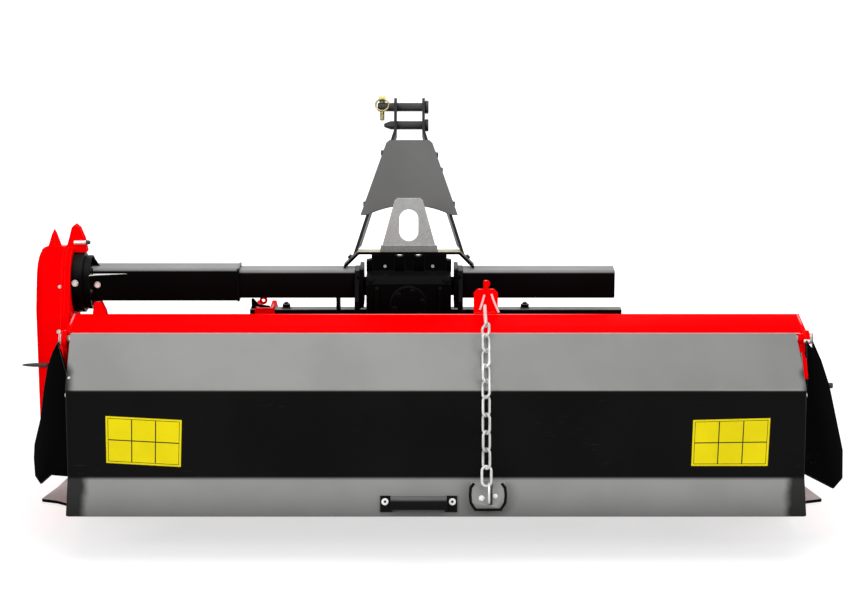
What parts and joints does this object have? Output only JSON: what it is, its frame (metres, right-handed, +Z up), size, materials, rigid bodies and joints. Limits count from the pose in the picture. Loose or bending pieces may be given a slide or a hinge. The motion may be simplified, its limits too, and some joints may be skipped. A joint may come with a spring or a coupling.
{
  "type": "rotary tiller",
  "caption": "Tractor-mounted rotary tiller with a red hood, black folded rear gate held by a chain, side drive case, square beam, gearbox, leaning mast and a tined rotor between skids.",
  "frame": {"origin": "on the ground, under the middle of the machine's overall box", "axes": "+X to the right as seen from behind, +Y forward to the tractor, +Z up"},
  "size_m": [1.715, 0.7072, 0.853],
  "materials": {
    "red_paint": "gloss red enamel",
    "black_paint": "gloss black enamel",
    "black_casting": "painted casting, gloss black",
    "galvanised_steel": "galvanised, spangled",
    "zinc_plate": "zinc plated",
    "yellow_zinc": "yellow zinc plated",
    "bare_steel": "bare steel, machined and forged",
    "black_plastic": "matt black plastic"
  },
  "bodies": {
    "root": {"hood_shell": "red_paint", "side_plate_left": "red_paint", "side_plate_right": "red_paint", "hood_stiffener": "black_paint", "gear_case": "red_paint", "gear_case_cover": "red_paint", "drive_flange": "black_paint", "sleeve_tube": "black_paint", "left_beam": "black_paint", "right_beam": "black_paint", "beam_prop_left": "black_paint", "beam_prop_right": "black_paint", "gearbox": "black_casting", "saddle_plate_left": "black_paint", "saddle_plate_right": "black_paint", "bridge_plate": "black_paint", "slot_bracket": "galvanised_steel", "mast_bar_left": "black_paint", "mast_bar_right": "black_paint", "mast_guard": "black_paint", "top_link_pin": "zinc_plate", "mast_cross_pin": "zinc_plate", "lynch_pin": "yellow_zinc", "pto_guard": "black_plastic", "lower_hitch_left": "red_paint", "lower_hitch_right": "red_paint", "lower_pin_left": "zinc_plate", "lower_pin_right": "zinc_plate", "rotor_bearing": "black_paint", "skid_left": "black_paint", "skid_right": "black_paint", "side_pins": "black_paint", "chain_bracket": "red_paint"},
    "rotor": {"rotor_tube": "black_paint", "tines": "bare_steel"},
    "power_shaft": {"pto_shaft": "bare_steel"},
    "gate": {"gate_sheet": "black_paint", "gate_rod": "zinc_plate", "gate_wing_left": "black_paint", "gate_wing_right": "black_paint", "gate_handle": "black_paint", "chain_catch": "black_paint", "chain": "zinc_plate"}
  },
  "joints": [
    {"name": "rotor_spin", "type": "hinge", "parent": "root", "child": "rotor", "pos_m": [0.0225, -0.00064, 0.205], "axis": [1, 0, 0], "continuous": true},
    {"name": "pto_spin", "type": "hinge", "parent": "root", "child": "power_shaft", "pos_m": [-0.0345, 0.17236, 0.409], "axis": [0, 1, 0], "continuous": true},
    {"name": "gate_lift", "type": "hinge", "parent": "root", "child": "gate", "pos_m": [0.0225, -0.19364, 0.425], "axis": [-1, 0, 0], "range_deg": [0, 60], "deforming": ["chain"]}
  ],
  "couplings": [
    {"joint": "pto_spin", "follows": "rotor_spin", "ratio": 2.7}
  ]
}
